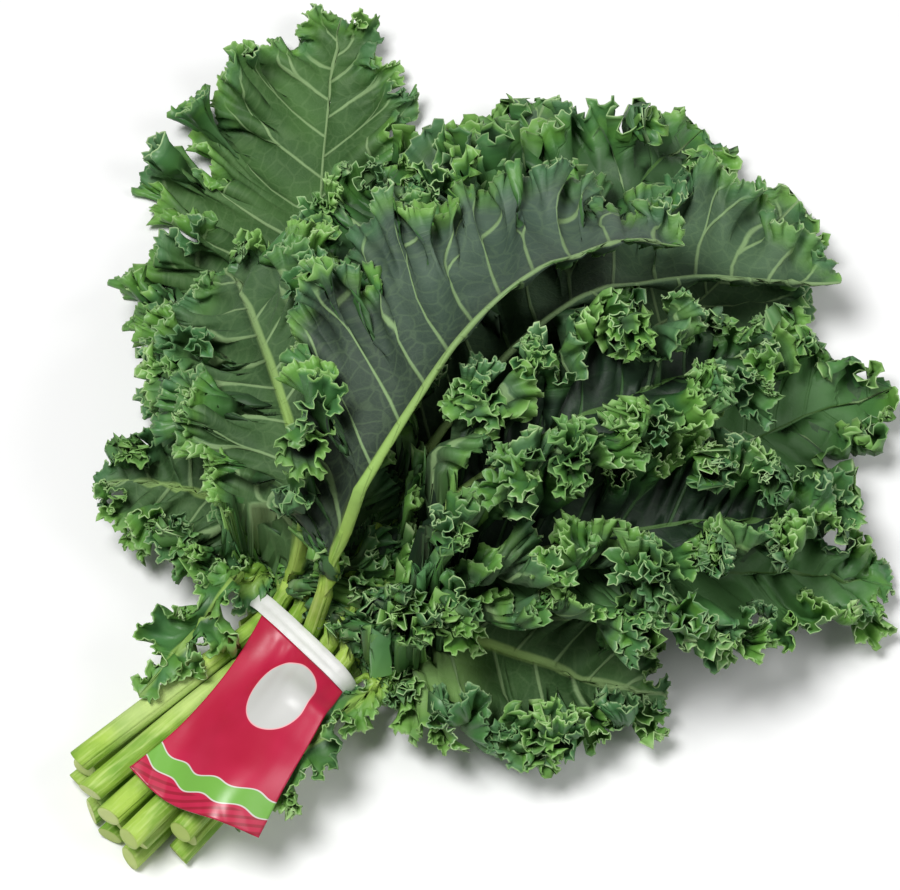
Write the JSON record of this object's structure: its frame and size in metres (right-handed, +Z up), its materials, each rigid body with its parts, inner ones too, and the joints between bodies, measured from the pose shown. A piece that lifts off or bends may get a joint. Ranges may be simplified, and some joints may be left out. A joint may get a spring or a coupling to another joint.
{
  "type": "bunch of curly kale",
  "caption": "Bunch of curly kale lying down: long ruffled leaves fan out from stalks held by a ribbon tie with a plain label.",
  "frame": {"origin": "middle of the bunch's footprint, on the surface that it lies on", "axes": "+X along the bunch, from the cut stalk ends to the leaf tips; +Y to the left of that, seen from above; +Z up"},
  "size_m": [0.5058, 0.472, 0.1783],
  "materials": {
    "kale": "satin",
    "tie_ribbon": "satin",
    "label_film": "satin"
  },
  "bodies": {
    "root": {"leaf_01": "kale", "leaf_02": "kale", "leaf_03": "kale", "leaf_04": "kale", "leaf_05": "kale", "leaf_06": "kale", "leaf_07": "kale", "leaf_08": "kale", "leaf_09": "kale", "leaf_10": "kale", "leaf_11": "kale", "leaf_12": "kale", "leaf_13": "kale", "leaf_14": "kale", "leaf_15": "kale", "leaf_16": "kale", "leaf_17": "kale", "tie_band": "tie_ribbon", "label": "label_film"}
  },
  "joints": []
}
